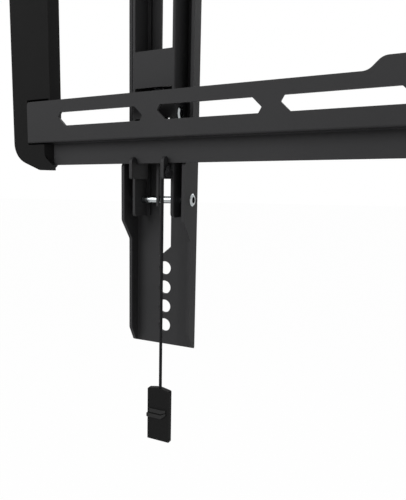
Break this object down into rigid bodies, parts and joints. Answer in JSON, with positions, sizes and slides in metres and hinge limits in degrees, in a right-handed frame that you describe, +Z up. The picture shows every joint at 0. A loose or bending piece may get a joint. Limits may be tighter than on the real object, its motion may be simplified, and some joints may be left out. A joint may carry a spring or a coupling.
{
  "type": "tv wall mount",
  "caption": "Flat-to-wall television mount: two slotted rails with moulded end caps, and two hooked arms that lock on by sprung latches released by pull cords.",
  "frame": {"origin": "on the wall plane, at the centre of the pattern of wall slots, midway between the two rails and the two arms", "axes": "+X along the rails to the viewer's right when facing the wall side as in the picture, +Y from the wall towards the television, +Z up"},
  "size_m": [0.5988, 0.03, 0.4815],
  "materials": {
    "rail_coating": "fine-textured black powder coat",
    "arm_coating": "fine-textured black powder coat",
    "hook_coating": "fine-textured black powder coat",
    "cap_plastic": "spark-eroded matt black moulding",
    "grip_plastic": "satin black moulding",
    "strut_steel": "black powder coat",
    "zinc_pins": "bright zinc plating",
    "zinc_rivets": "bright zinc plating",
    "spring_steel": "black phosphated spring wire",
    "cord_braid": "black braided polyester"
  },
  "bodies": {
    "frame": {"lower_rail": "rail_coating", "upper_rail": "rail_coating", "left_end_cap": "cap_plastic", "right_end_cap": "cap_plastic", "left_strut": "strut_steel", "right_strut": "strut_steel", "strut_rivets": "zinc_rivets"},
    "left_arm": {"left_arm_channel": "arm_coating", "left_inner_channel": "arm_coating", "left_top_hook": "hook_coating", "left_hook_studs": "zinc_pins", "left_latch_studs": "zinc_pins", "left_lower_pin": "zinc_pins", "left_upper_pin": "zinc_pins", "left_latch_spring": "spring_steel"},
    "left_latch": {"left_latch": "hook_coating", "left_pull_cord": "cord_braid", "left_pull_grip": "grip_plastic"},
    "right_arm": {"right_arm_channel": "arm_coating", "right_inner_channel": "arm_coating", "right_top_hook": "hook_coating", "right_hook_studs": "zinc_pins", "right_latch_studs": "zinc_pins", "right_lower_pin": "zinc_pins", "right_upper_pin": "zinc_pins", "right_latch_spring": "spring_steel"},
    "right_latch": {"right_latch": "hook_coating", "right_pull_cord": "cord_braid", "right_pull_grip": "grip_plastic"}
  },
  "joints": [
    {"name": "left_arm_slide", "type": "slide", "parent": "frame", "child": "left_arm", "axis": [1, 0, 0], "range_m": [-0.045, 0.15]},
    {"name": "left_latch_pull", "type": "slide", "parent": "left_arm", "child": "left_latch", "axis": [0, 0, 1], "range_m": [-0.005, 0], "stiffness_N_per_m": 900, "springref_m": 0.004, "deforming": ["left_latch_spring"]},
    {"name": "right_arm_slide", "type": "slide", "parent": "frame", "child": "right_arm", "axis": [1, 0, 0], "range_m": [-0.15, 0.045]},
    {"name": "right_latch_pull", "type": "slide", "parent": "right_arm", "child": "right_latch", "axis": [0, 0, 1], "range_m": [-0.005, 0], "stiffness_N_per_m": 900, "springref_m": 0.004, "deforming": ["right_latch_spring"]}
  ]
}
